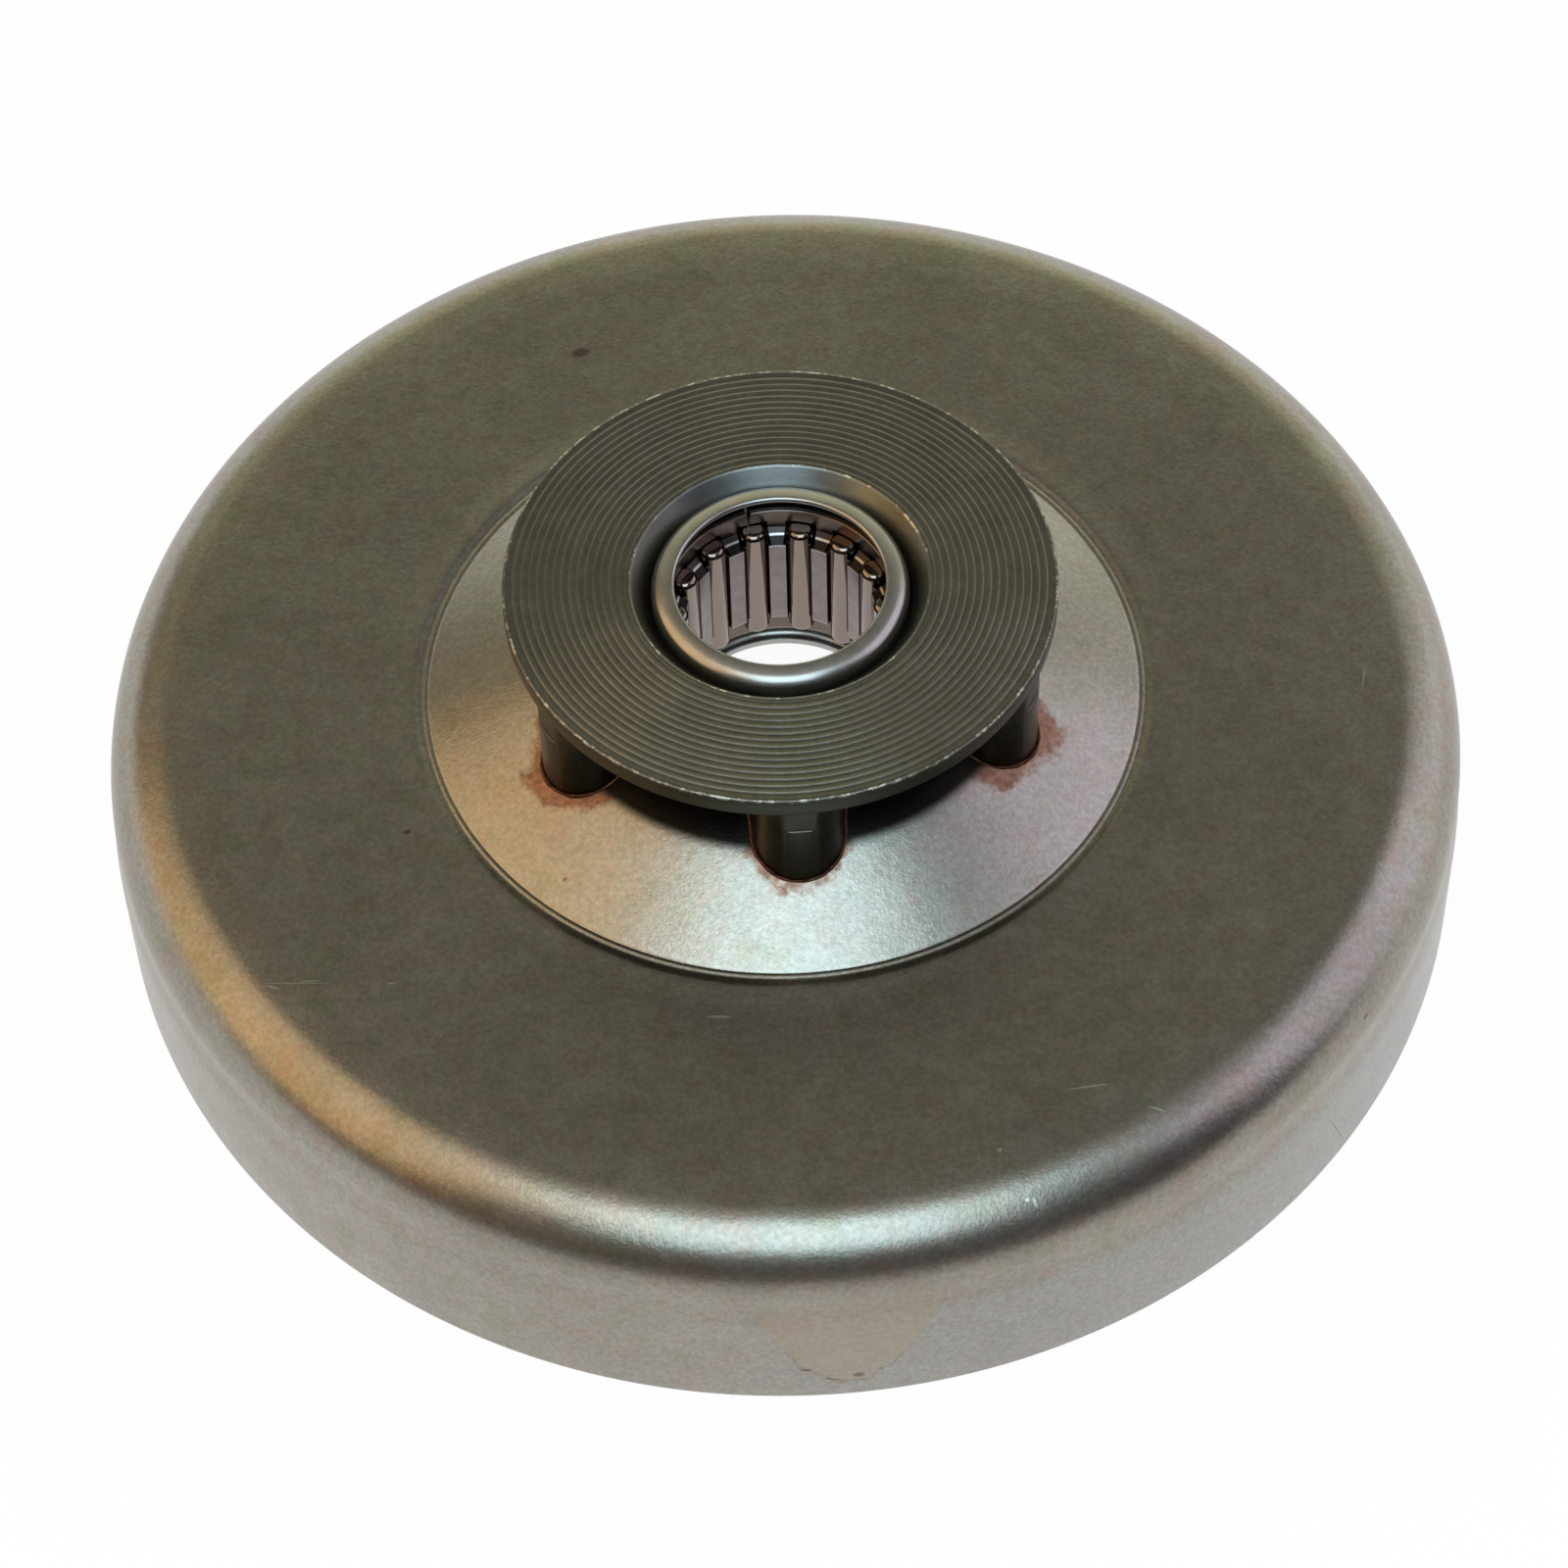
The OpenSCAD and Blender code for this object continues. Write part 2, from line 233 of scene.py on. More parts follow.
class Pen:
    """Draws an outline in edit mode, from point to point, in the plane of two axes."""

    def __init__(self, name, start, across=(1, 0, 0), up=(0, 0, 1)):
        bpy.ops.object.select_all(action="DESELECT")
        bpy.ops.mesh.primitive_plane_add(size=MM)
        self.piece = bpy.context.object
        self.piece.name = name
        self.across = Vector(across)
        self.up = Vector(up)
        self.at = Vector(start)
        bpy.ops.object.mode_set(mode="EDIT")
        bpy.ops.mesh.merge(type="CENTER")
        bpy.ops.transform.translate(value=self.place(self.at))

    def place(self, point):
        return (self.across * point[0] + self.up * point[1]) * MM

    def line(self, *points):
        """Draw straight to each point in turn."""
        for point in points:
            step = Vector(point) - self.at
            bpy.ops.mesh.extrude_vertices_move(TRANSFORM_OT_translate={"value": self.place(step)})
            self.at = Vector(point)
        return self

    def arc(self, centre, degrees, steps):
        """Turn round the centre, anticlockwise for degrees above 0."""
        angle = math.radians(degrees)
        bpy.ops.mesh.spin(
            steps=steps, angle=angle, center=self.place(centre), axis=-self.across.cross(self.up)
        )
        self.at = Vector(centre) + Matrix.Rotation(angle, 2) @ (self.at - Vector(centre))
        return self

    def finish(self):
        """Weld the mesh, turn its faces outwards and leave edit mode."""
        bpy.ops.mesh.select_all(action="SELECT")
        bpy.ops.mesh.remove_doubles(threshold=WELD)
        bpy.ops.mesh.normals_make_consistent(inside=False)
        bpy.ops.object.mode_set(mode="OBJECT")
        return self.piece

    def lathe(self, steps, centre=(0, 0)):
        """Turn the outline round the upright axis through the centre."""
        bpy.ops.mesh.select_all(action="SELECT")
        bpy.ops.mesh.remove_doubles(threshold=WELD)
        bpy.ops.mesh.spin(
            steps=steps, angle=math.tau, center=(centre[0] * MM, centre[1] * MM, 0), axis=(0, 0, 1)
        )
        return self.finish()

    def prism(self, low, high):
        """Fill the outline and extrude it along its normal, from low to high."""
        normal = self.across.cross(self.up)
        bpy.ops.mesh.select_all(action="SELECT")
        bpy.ops.mesh.remove_doubles(threshold=WELD)
        bpy.ops.mesh.edge_face_add()
        bpy.ops.transform.translate(value=normal * low * MM)
        bpy.ops.mesh.extrude_region_move(TRANSFORM_OT_translate={"value": normal * (high - low) * MM})
        return self.finish()


def combine(piece, other, operation):
    """Cut the other piece out of this one, or unite the two, and drop the other."""
    select_only(piece)
    bpy.ops.object.modifier_add(type="BOOLEAN")
    modifier = piece.modifiers[-1]
    modifier.object = other
    modifier.operation = operation
    modifier.solver = "EXACT"
    bpy.ops.object.modifier_apply(modifier=modifier.name)
    bpy.data.objects.remove(other)


def turn_copy(piece, angle, name):
    """A copy with its own mesh, turned about the upright axis."""
    select_only(piece)
    bpy.ops.object.duplicate(linked=False)
    copy = bpy.context.object
    copy.name = name
    bpy.ops.object.mode_set(mode="EDIT")
    bpy.ops.mesh.select_all(action="SELECT")
    # With no window this operator turns the other way.
    bpy.ops.transform.rotate(value=-angle, orient_axis="Z", center_override=(0, 0, 0))
    bpy.ops.object.mode_set(mode="OBJECT")
    return copy


def roughen(piece, wave, depth):
    """Push the surface in and out by up to half the depth, in waves of that length."""
    texture = bpy.data.textures.new(piece.name + "_waves", "CLOUDS")
    texture.noise_scale = wave * MM
    select_only(piece)
    bpy.ops.object.modifier_add(type="DISPLACE")
    modifier = piece.modifiers[-1]
    modifier.texture = texture
    modifier.strength = depth * MM
    modifier.texture_coords = "LOCAL"
    bpy.ops.object.modifier_apply(modifier=modifier.name)


def deliver(piece, material, slot, body, *nodes):
    """Smooth the finished piece, dress it, and put it on its body in place of its CAD nodes."""
    select_only(piece)
    bpy.ops.object.shade_smooth_by_angle(angle=SMOOTH_ANGLE)
    piece.data.materials.clear()
    piece.data.materials.append(material)
    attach(piece, body)
    if nodes:
        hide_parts(*nodes)


def cone_top(drum, radius):
    """Height of the cone's outer face at that radius."""
    return drum.height + (drum.cone_foot - radius) * drum.cone_rise


def gap_radius(sizes, pitch):
    """Radius of the round gap that touches the round tips of two teeth."""
    tip_r, tip_at, root, lean = sizes.tip_radius, sizes.tip_reach, sizes.root_radius, math.cos(pitch / 2)
    return (tip_at**2 + root**2 - 2 * tip_at * root * lean - tip_r**2) / (2 * (tip_r + tip_at * lean - root))


def tooth_outline(name, sizes, teeth, turn, grown=0):
    """A pen that has drawn the outline of the toothed column, grown by that much."""
    pitch = math.tau / teeth
    tip_r, tip_at, root = sizes.tip_radius, sizes.tip_reach, sizes.root_radius
    gap_r = gap_radius(sizes, pitch)
    gap_at = root + gap_r
    # The tip circle and the gap circle touch on the line between their centres.
    reach = polar(gap_at, pitch / 2) - Vector((tip_at, 0))
    touch = math.atan2(reach.y, reach.x)
    pen = None
    for tooth in range(teeth):
        at = turn + tooth * pitch
        tip = polar(tip_at, at)
        if pen is None:
            pen = Pen(name, tip + polar(tip_r + grown, at - touch), (1, 0, 0), (0, 1, 0))
        pen.arc(tip, math.degrees(2 * touch), 40)
        gap = polar(gap_at, at + pitch / 2)
        pen.arc(gap, -math.degrees(2 * touch - pitch), 28)
    return pen


def node(tree, kind, inputs=None, stops=None, **settings):
    """Add a shader node with its settings, its inputs (values or sockets) and its colour stops."""
    added = tree.nodes.new("ShaderNode" + kind)
    for name, value in settings.items():
        setattr(added, name, value)
    for name, value in (inputs or {}).items():
        if isinstance(value, bpy.types.NodeSocket):
            tree.links.new(value, added.inputs[name])
        else:
            added.inputs[name].default_value = value
    if stops:
        ramp = added.color_ramp
        while len(ramp.elements) < len(stops):
            ramp.elements.new(0.5)
        for element, (position, colour) in zip(ramp.elements, stops):
            element.position = position
            element.color = (*colour, 1) if len(colour) == 3 else colour
    return added


def new_material(name):
    """An empty node material, and its tree."""
    material = bpy.data.materials.new(name)
    material.use_nodes = True
    material.node_tree.nodes.clear()
    return material, material.node_tree


def grey(value):
    return (value, value, value)


def scaled(colour, factor):
    """The colour made darker or lighter, as a colour with alpha."""
    return (*(min(1, c * factor) for c in colour), 1)


def grain(tree, length, detail=2, roughness=0.5, distortion=0, place=None):
    """Noise whose features are about that many millimetres long."""
    place = place or node(tree, "TexCoord").outputs["Object"]
    return node(
        tree,
        "TexNoise",
        {
            "Vector": place,
            "Scale": 1 / (length * MM),
            "Detail": detail,
            "Roughness": roughness,
            "Distortion": distortion,
        },
    ).outputs["Fac"]


def ramp(tree, value, low, high):
    """The value stretched so that low becomes 0 and high becomes 1."""
    return node(tree, "MapRange", {0: value, 1: low, 2: high}, interpolation_type="SMOOTHSTEP").outputs[0]


def blend_colour(tree, factor, first, second, kind="MIX"):
    """Mix two colours by the factor."""
    mix = node(tree, "Mix", {0: factor}, data_type="RGBA", blend_type=kind)
    for socket, value in ((6, first), (7, second)):
        if isinstance(value, bpy.types.NodeSocket):
            tree.links.new(value, mix.inputs[socket])
        else:
            mix.inputs[socket].default_value = value if len(value) == 4 else (*value, 1)
    return mix.outputs[2]


def maths(tree, operation, first, second=0.0):
    """One sum of two values."""
    return node(tree, "Math", {0: first, 1: second}, operation=operation).outputs[0]


def place_of(tree):
    """The shaded point's distance from the axis and its height, and the point itself unrolled
    from the drum's wall, all in millimetres."""
    place = node(tree, "TexCoord").outputs["Object"]
    level = node(tree, "VectorMath", {0: place, 1: (1 / MM, 1 / MM, 0)}, operation="MULTIPLY").outputs[0]
    radius = node(tree, "VectorMath", {0: level}, operation="LENGTH").outputs["Value"]
    height = maths(tree, "MULTIPLY", node(tree, "SeparateXYZ", {0: place}).outputs[2], 1 / MM)
    parts = node(tree, "SeparateXYZ", {0: level})
    angle = maths(tree, "ARCTAN2", parts.outputs[1], parts.outputs[0])
    around = maths(tree, "MULTIPLY", angle, DRUM_HIGH.x / MM)
    unrolled = node(tree, "CombineXYZ", {0: around, 1: height}).outputs[0]
    return radius, height, level, unrolled


def band(tree, value, low, high, soft):
    """1 while the value is between low and high, with soft ends."""
    above = ramp(tree, value, low - soft, low + soft)
    return maths(tree, "MULTIPLY", above, ramp(tree, value, high + soft, high - soft))


def mark(tree, place, middle, turn, shape):
    """A soft-ended mark of that length and width, turned by that many degrees."""
    moved = node(tree, "VectorMath", {0: place, 1: (*middle, 0)}, operation="SUBTRACT").outputs[0]
    turned = node(tree, "VectorRotate", {"Vector": moved, "Angle": -math.radians(turn)}, rotation_type="Z_AXIS")
    stretched = {0: turned.outputs[0], 1: (2 / shape[0], 2 / shape[1], 0)}
    reach = node(tree, "VectorMath", stretched, operation="MULTIPLY").outputs[0]
    reach = node(tree, "VectorMath", {0: reach}, operation="LENGTH").outputs["Value"]
    return ramp(tree, reach, 1.0, 0.5)


def marks(tree, place, listed):
    """All the listed marks as one value."""
    total = 0.0
    for middle, turn, shape in listed:
        total = maths(tree, "MAXIMUM", mark(tree, place, middle, turn, shape), total)
    return total


def surface(tree, **inputs):
    """The shader that all the metals end in."""
    shader = node(tree, "BsdfPrincipled", {name.replace("_", " "): value for name, value in inputs.items()})
    node(tree, "OutputMaterial", {"Surface": shader.outputs[0]})
    return shader


def drum_steel(colours):
    """Mild steel sheet, deep drawn and degreased: satin, with a fine orange peel that sparkles in
    the light and an olive tarnish in soft clouds. Copper has crept over it round the teeth, under
    the flange it is painted black as shade, its cone is lightened as a painted highlight, and
    handling has left a few scratches and stains."""
    material, tree = new_material("drawn_mild_steel")
    radius, height, level, unrolled = place_of(tree)
    clouds = ramp(tree, grain(tree, 9, 3, 0.55, 0.6), 0.35, 0.65)
    base = blend_colour(tree, clouds, scaled(colours.drum, 0.95), scaled(colours.drum, 1.05))
    brown = ramp(tree, grain(tree, 1.7, 3, 0.65, 0.4), 0.42, 0.72)
    base = blend_colour(tree, brown, base, blend_colour(tree, 0.45, base, linear("#9c8378")))
    green = ramp(tree, grain(tree, 2.9, 3, 0.65, 0.4), 0.48, 0.76)
    base = blend_colour(tree, green, base, blend_colour(tree, 0.4, base, linear("#80866a")))
    # The lower wall is made greyer, except on its front left.
    greyer_lower_wall = maths(tree, "MULTIPLY", ramp(tree, height, 8.2, 7.2), ramp(tree, around_of(tree, unrolled), -72, -52))
    base = blend_colour(tree, maths(tree, "MULTIPLY", greyer_lower_wall, 0.5), base, linear("#9b9c9b"))
    # Painted highlight: the cone's colour is lightened a little to strengthen the highlight in it.
    painted_cone_highlight = ramp(tree, radius, 19.75, 19.6)
    base = blend_colour(tree, maths(tree, "MULTIPLY", painted_cone_highlight, 0.12), base, linear("#bcbdb8"))
    specks = ramp(tree, grain(tree, 0.3, 3, 0.65), 0.25, 0.8)
    base = blend_colour(tree, 1.0, base, blend_colour(tree, specks, grey(0.82), grey(1.14)), "MULTIPLY")
    base = blend_colour(tree, maths(tree, "MULTIPLY", wall_stain(tree, height, unrolled), 0.35), base, linear("#a08f72"))
    base = blend_colour(tree, maths(tree, "MULTIPLY", stain_outline(tree, height, unrolled), 0.4), base, linear("#6b5a45"))
    outside = maths(tree, "MAXIMUM", ramp(tree, height, 12, 12.3), ramp(tree, radius, 36.3, 36.6))
    spots = maths(tree, "MULTIPLY", marks(tree, level, FACE_SPOTS), outside)
    spots = maths(tree, "MAXIMUM", spots, marks(tree, unrolled, WALL_SPOTS))
    base = blend_colour(tree, maths(tree, "MULTIPLY", spots, 0.6), base, linear("#3b342b"))
    scratches = maths(tree, "MULTIPLY", marks(tree, level, FACE_SCRATCHES), outside)
    base = blend_colour(tree, maths(tree, "MULTIPLY", scratches, 0.6), base, linear("#dcdcd2"))
    halo = copper_halo(tree)
    copper = blend_colour(
        tree, ramp(tree, grain(tree, 0.5, 3, 0.7), 0.35, 0.65), linear("#694234"), linear("#8c634c")
    )
    base = blend_colour(tree, maths(tree, "MULTIPLY", halo, 0.85), base, copper)
    # Painted shade: the cone is painted near black under the flange, where the flange's shadow and its dark
    # reflection fall.
    base = blend_colour(tree, ramp(tree, radius, 14.0, 13.3), base, linear("#1f1c19"))
    rough = maths(tree, "ADD", maths(tree, "MULTIPLY", grain(tree, 1.5, 3, 0.6), 0.10), 0.27)
    rough = maths(tree, "ADD", rough, maths(tree, "MULTIPLY", halo, 0.08))
    fine = grain(tree, 0.17, 2, 0.6)
    coarse = grain(tree, 0.8, 2, 0.5)
    bump = node(tree, "Bump", {"Height": coarse, "Distance": 0.010 * MM, "Strength": 1.0}).outputs[0]
    bump = node(tree, "Bump", {"Height": fine, "Distance": 0.011 * MM, "Strength": 1.0, "Normal": bump})
    surface(tree, Base_Color=base, Metallic=1.0, Roughness=rough, Normal=bump.outputs[0])
    return material


def around_of(tree, unrolled):
    """How far round the wall the unrolled point is, in millimetres."""
    return node(tree, "SeparateXYZ", {0: unrolled}).outputs[0]


def copper_halo(tree):
    """Where the copper has crept out from the teeth, with a ragged edge."""
    reach = node(tree, "Attribute", attribute_name="braze_reach").outputs["Fac"]
    wide = maths(tree, "MULTIPLY", grain(tree, 3.2, 2, 0.5), 3.4)
    ragged = maths(tree, "MULTIPLY", grain(tree, 0.45, 4, 0.7, 0.5), 1.6)
    crept = maths(tree, "SUBTRACT", maths(tree, "SUBTRACT", reach, wide), ragged)
    x = node(tree, "SeparateXYZ", {0: node(tree, "TexCoord").outputs["Object"]}).outputs[0]
    narrow = maths(tree, "MULTIPLY", ramp(tree, maths(tree, "ABSOLUTE", x), 9 * MM, 4 * MM), 0.6)
    return ramp(tree, maths(tree, "ADD", crept, narrow), -1.1, -1.8)


def stain_depth(tree, height, unrolled):
    """How far the point lies inside the tongue-shaped water stain on the wall."""
    aside = maths(tree, "SUBTRACT", around_of(tree, unrolled), STAIN_AT)
    hollow = maths(tree, "MULTIPLY", maths(tree, "MULTIPLY", aside, aside), 0.28)
    wavy = maths(tree, "MULTIPLY", grain(tree, 1.4, 3, 0.6), 1.6)
    return maths(tree, "SUBTRACT", maths(tree, "ADD", height, wavy), maths(tree, "ADD", hollow, 2.3))


def wall_stain(tree, height, unrolled):
    inside = ramp(tree, stain_depth(tree, height, unrolled), -0.15, 0.2)
    return maths(tree, "MULTIPLY", inside, ramp(tree, height, 10.5, 7))


def stain_outline(tree, height, unrolled):
    edge = band(tree, stain_depth(tree, height, unrolled), -0.1, 0.1, 0.12)
    return maths(tree, "MULTIPLY", edge, ramp(tree, height, 6.5, 2.5))


def sprocket_steel(colours):
    """Turned steel, browned in the brazing furnace: dull in its grooves, painted near black as shade
    under the flange, painted dark at the chamfer's front and light at its back, and bright where
    its edges are nicked."""
    material, tree = new_material("turned_sprocket_steel")
    radius, height, level, _ = place_of(tree)
    clouds = ramp(tree, grain(tree, 4, 4, 0.6, 0.5), 0.35, 0.65)
    base = blend_colour(tree, clouds, scaled(colours.sprocket, 0.92), scaled(colours.sprocket, 1.08))
    specks = ramp(tree, grain(tree, 0.3, 2, 0.6), 0.2, 0.8)
    base = blend_colour(tree, 1.0, base, blend_colour(tree, specks, grey(0.88), grey(1.08)), "MULTIPLY")
    along = node(tree, "CombineXYZ", {0: maths(tree, "MULTIPLY", radius, MM)}).outputs[0]
    uneven = ramp(tree, grain(tree, 0.5, 2, 0.7, 0, along), 0.3, 0.7)
    base = blend_colour(tree, 1.0, base, blend_colour(tree, uneven, grey(0.92), grey(1.06)), "MULTIPLY")
    # Painted light and shade: the chamfer is painted dark at the front and lighter at the back, as the light falls
    # on it.
    chamfer = ramp(tree, radius, 8.15, 8.0)
    at_back = ramp(tree, node(tree, "SeparateXYZ", {0: level}).outputs[1], 4, 8)
    chamfer_light_and_shade = blend_colour(tree, at_back, linear("#57574f"), linear("#808483"))
    base = blend_colour(tree, chamfer, base, chamfer_light_and_shade)
    # Painted shade: all below the flange is painted near black, as the flange's shade.
    below = ramp(tree, height, SPROCKET_HIGH.z / MM - 1.1, SPROCKET_HIGH.z / MM - 1.3)
    black = blend_colour(tree, ramp(tree, grain(tree, 0.9, 3, 0.6), 0.3, 0.7), linear("#3f3b32"), linear("#4c483d"))
    base = blend_colour(tree, below, base, black)
    side = maths(tree, "MULTIPLY", ramp(tree, radius, 14.9, 14.97), ramp(tree, height, 22.14, 22.08))
    base = blend_colour(tree, side, base, linear("#55534a"))
    top = ramp(tree, height, 22.0, 22.12)
    chips = ramp(tree, grain(tree, 0.55, 3, 0.75), 0.48, 0.62)
    rim = maths(tree, "MULTIPLY", ramp(tree, radius, 14.82, 14.9), top)
    lip = maths(tree, "MULTIPLY", band(tree, radius, 8.08, 8.2, 0.05), top)
    lip = maths(tree, "MULTIPLY", lip, ramp(tree, grain(tree, 0.7, 3, 0.7), 0.56, 0.64))
    worn = maths(tree, "MAXIMUM", maths(tree, "MULTIPLY", rim, chips), lip)
    base = blend_colour(tree, maths(tree, "MULTIPLY", worn, 0.8), base, linear("#d8d6cc"))
    rough = maths(tree, "ADD", maths(tree, "MULTIPLY", grain(tree, 0.8, 3, 0.6), 0.12), 0.27)
    bump = node(tree, "Bump", {"Height": grain(tree, 0.2, 2, 0.6), "Distance": 0.005 * MM, "Strength": 1.0})
    surface(tree, Base_Color=base, Metallic=1.0, Roughness=rough, Normal=bump.outputs[0])
    return material


def copper_braze(colours):
    """Copper braze that has run out of the joint: lumpy, painted nearly black for flux and for the
    shade at the feet of the teeth, with a few painted glints.
    """
    material, tree = new_material("copper_braze")
    # Partly painted shade: the bead is darkened for flux and for the shade at the feet of the teeth.
    tarnish = ramp(tree, grain(tree, 0.6, 4, 0.65), 0.3, 0.65)
    base = blend_colour(tree, tarnish, scaled(colours.braze, 0.15), scaled(colours.braze, 0.45))
    # Painted glints: a few pale bits stand in for highlights.
    painted_glints = ramp(tree, grain(tree, 1.6, 3, 0.7), 0.64, 0.72)
    base = blend_colour(tree, painted_glints, base, linear("#d9c3b4"))
    rough = maths(tree, "ADD", maths(tree, "MULTIPLY", grain(tree, 0.4, 3, 0.6), 0.3), 0.3)
    bump = node(tree, "Bump", {"Height": grain(tree, 0.25, 3, 0.6), "Distance": 0.02 * MM, "Strength": 1.0})
    surface(tree, Base_Color=base, Metallic=1.0, Roughness=rough, Normal=bump.outputs[0])
    return material


def cup_steel(colours):
    """Deep-drawn case-hardened strip: satin, and a little tarnished."""
    material, tree = new_material("drawn_cup_steel")
    clouds = ramp(tree, grain(tree, 1.2, 3, 0.6), 0.3, 0.7)
    base = blend_colour(tree, clouds, scaled(colours.cup, 0.93), scaled(colours.cup, 1.05))
    rough = maths(tree, "ADD", maths(tree, "MULTIPLY", grain(tree, 0.3, 2, 0.6), 0.1), 0.26)
    bump = node(tree, "Bump", {"Height": grain(tree, 0.12, 2, 0.6), "Distance": 0.002 * MM, "Strength": 1.0})
    surface(tree, Base_Color=base, Metallic=1.0, Roughness=rough, Normal=bump.outputs[0])
    return material


def cage_steel(colours):
    """Pressed and tumbled strip: pinkish grey and matt, painted dark as shade on the slopes by the
    bends, and with painted highlights along the bends.
    """
    material, tree = new_material("pressed_strip_steel")
    _, height, _, _ = place_of(tree)
    clouds = ramp(tree, grain(tree, 0.8, 3, 0.6), 0.3, 0.7)
    base = blend_colour(tree, clouds, scaled(colours.cage, 0.9), scaled(colours.cage, 1.08))
    middle = (CAGE_HIGH.z + CAGE_LOW.z) / 2 / MM
    above = maths(tree, "ABSOLUTE", maths(tree, "SUBTRACT", height, middle))
    base = blend_colour(tree, ramp(tree, above, 3.75, 3.9), base, linear("#6b5f59"))
    # Painted shade: the slopes by the bends are painted dark.
    base = blend_colour(tree, band(tree, above, 3.5, 3.8, 0.03), base, scaled(colours.cage, 0.16))
    base = blend_colour(tree, band(tree, above, 3.1, 3.48, 0.03), base, scaled(colours.cage, 0.07))
    # Painted highlights: thin bright lines along the bends.
    bright = maths(tree, "MAXIMUM", band(tree, above, 3.46, 3.54, 0.02), band(tree, above, 3.04, 3.1, 0.03))
    base = blend_colour(tree, maths(tree, "MULTIPLY", bright, 0.7), base, linear("#b9b4b2"))
    rough = maths(tree, "ADD", maths(tree, "MULTIPLY", grain(tree, 0.3, 2, 0.6), 0.12), 0.24)
    bump = node(tree, "Bump", {"Height": grain(tree, 0.1, 2, 0.6), "Distance": 0.002 * MM, "Strength": 1.0})
    surface(tree, Base_Color=base, Metallic=1.0, Roughness=rough, Normal=bump.outputs[0])
    return material


def roller_steel(colours):
    """Ground and polished bearing steel: nearly a mirror, with fine rings from the grinding."""
    material, tree = new_material("ground_bearing_steel")
    place = node(tree, "Mapping", {"Vector": node(tree, "TexCoord").outputs["Object"], "Scale": (1, 1, 12)})
    rings = grain(tree, 2.0, 2, 0.6, 0, place.outputs[0])
    base = blend_colour(tree, rings, scaled(colours.roller, 0.95), scaled(colours.roller, 1.0))
    rough = maths(tree, "ADD", maths(tree, "MULTIPLY", rings, 0.05), 0.07)
    surface(tree, Base_Color=base, Metallic=1.0, Roughness=rough)
    return material


def floor_finish(colours):
    """Pale floor: white to the camera and in the metal, with the object's soft shadow on it.
    In front it ends, for the metal's reflections, where the dim room begins."""
    material, tree = new_material("pale_floor")
    path = node(tree, "LightPath")
    glossy = path.outputs["Is Glossy Ray"]
    seen = maths(tree, "MAXIMUM", path.outputs["Is Camera Ray"], glossy)
    seen = maths(tree, "MAXIMUM", seen, path.outputs["Is Transmission Ray"])
    plain = node(tree, "BsdfDiffuse", {"Color": (*colours.floor, 1)})
    white = node(tree, "Emission", {"Color": (1, 1, 1, 1), "Strength": 1.0})
    share = maths(tree, "MULTIPLY", seen, 0.95)
    mixed = node(tree, "MixShader", {0: share, 1: plain.outputs[0], 2: white.outputs[0]})
    y = node(tree, "SeparateXYZ", {0: node(tree, "TexCoord").outputs["Object"]}).outputs[1]
    room = node(tree, "Emission", {"Color": (0.15, 0.14, 0.14, 1), "Strength": 1.0})
    in_front = maths(tree, "MULTIPLY", glossy, ramp(tree, y, -45 * MM, -110 * MM))
    mixed = node(tree, "MixShader", {0: in_front, 1: mixed.outputs[0], 2: room.outputs[0]})
    node(tree, "OutputMaterial", {"Surface": mixed.outputs[0]})
    return material


